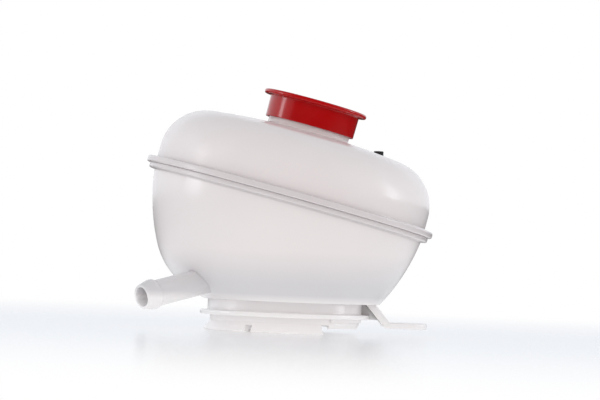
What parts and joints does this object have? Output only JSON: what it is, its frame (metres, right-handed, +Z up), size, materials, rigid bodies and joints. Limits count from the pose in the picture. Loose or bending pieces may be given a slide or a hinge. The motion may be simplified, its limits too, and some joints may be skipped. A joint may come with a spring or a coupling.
{
  "type": "coolant expansion tank",
  "caption": "Ball-shaped translucent tank leaning on a round snap-in foot, with a push-on filler cap, a barbed hose stub, a screw tab and a blanked vent.",
  "frame": {"origin": "middle of the foot's underside, on the foot's axis", "axes": "+Z up along the foot's axis; +X toward the screw tab and the side that the neck leans to; the hose stub points toward -X and -Y"},
  "size_m": [0.2212, 0.22, 0.1807],
  "materials": {
    "milky_shell": "milky translucent moulded polypropylene",
    "milky_bowl": "milky translucent moulded polypropylene",
    "red_cap": "glossy red moulded plastic",
    "black_rubber": "black moulded rubber"
  },
  "bodies": {
    "tank": {"upper_shell": "milky_shell", "lower_shell": "milky_bowl", "vent_plug": "black_rubber"},
    "cap": {"filler_cap": "red_cap"}
  },
  "joints": [
    {"name": "cap_pull", "type": "slide", "parent": "tank", "child": "cap", "axis": [0.2284, 0, 0.9736], "range_m": [0, 0.1]}
  ]
}
